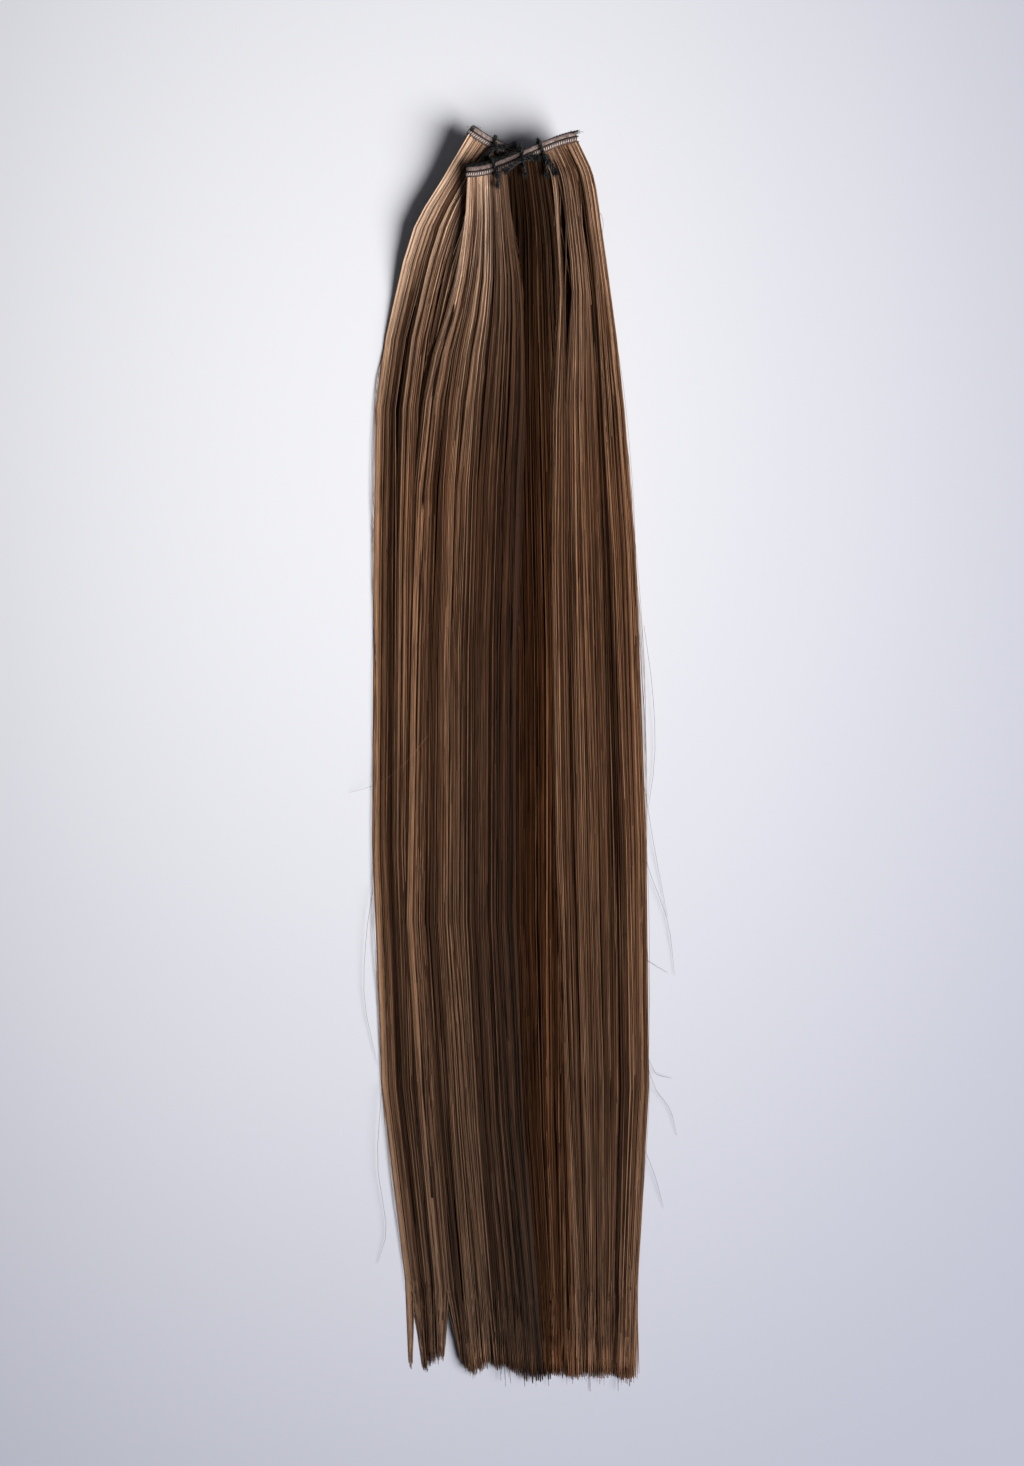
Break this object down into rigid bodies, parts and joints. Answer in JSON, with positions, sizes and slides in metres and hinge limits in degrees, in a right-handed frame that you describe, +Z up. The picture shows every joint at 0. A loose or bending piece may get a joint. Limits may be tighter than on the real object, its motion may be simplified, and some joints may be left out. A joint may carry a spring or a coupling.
{
  "type": "weft hair extension",
  "caption": "Long straight brown hair sewn into a narrow machine-stitched band, folded to and fro, tied with short black cords and laid flat; the band is fastened to natural hair or a cap.",
  "frame": {"origin": "on the surface that it lies on, under the middle of its outline", "axes": "+Y along the hair from the tips to the sewn band, +X across the hair to the right as seen from above with the band away, +Z up from the surface"},
  "size_m": [0.1267, 0.5688, 0.0233],
  "materials": {
    "band": "sewn thread over hair roots, satin",
    "hair_brown": "straight brown hair, soft sheen",
    "hair_light": "straight light brown hair, soft sheen",
    "hair_dark": "straight dark brown hair, soft sheen",
    "cord": "matte twisted black cord"
  },
  "bodies": {
    "root": {"weft_band": "band", "hair_under": "hair_brown", "hair_left": "hair_light", "hair_centre": "hair_dark", "hair_front_left": "hair_light", "hair_front_right": "hair_brown", "tie_back_left": "cord", "tie_front_left": "cord", "tie_middle": "cord", "tie_right": "cord"}
  },
  "joints": []
}
